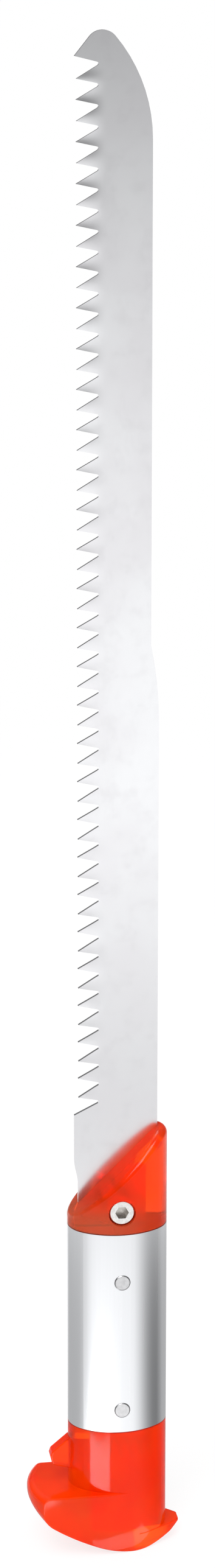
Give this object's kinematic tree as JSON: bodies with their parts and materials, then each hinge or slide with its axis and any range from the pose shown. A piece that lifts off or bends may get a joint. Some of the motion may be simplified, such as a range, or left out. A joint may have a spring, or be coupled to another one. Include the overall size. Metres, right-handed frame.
{
  "type": "snow saw",
  "caption": "Stowable snow saw: a long coarse-toothed steel blade clamped in an oval handle with a sprung latch and a rocker-shaped foot.",
  "frame": {"origin": "On the handle's long axis, level with the shelf face that the end of a shaft seats on", "axes": "+Z along the handle and up the blade to its nose, -X towards the teeth, +X towards the spine, -Y to the front, the side with the screw's head"},
  "size_m": [0.0519, 0.0278, 0.5062],
  "materials": {
    "blade_steel": "fine satin, ground face",
    "red_plastic": "clear-tinted red-orange moulding",
    "screw_steel": "bright stainless",
    "tube_alloy": "satin silver anodised",
    "rivet_alloy": "satin, lightly domed",
    "spring_steel": "drawn wire"
  },
  "bodies": {
    "saw": {"saw_blade": "blade_steel", "blade_socket": "red_plastic", "clamp_screw": "screw_steel", "clamp_nut": "screw_steel", "handle_tube": "tube_alloy", "upper_rivet": "rivet_alloy", "lower_rivet": "rivet_alloy", "end_cap": "red_plastic", "latch_spring": "spring_steel"},
    "latch": {"latch_button": "red_plastic"}
  },
  "joints": [
    {"name": "latch_press", "type": "slide", "parent": "saw", "child": "latch", "axis": [1, 0, 0], "range_m": [0, 0.0064], "stiffness_N_per_m": 800, "springref_m": -0.004, "deforming": ["latch_spring"]}
  ]
}
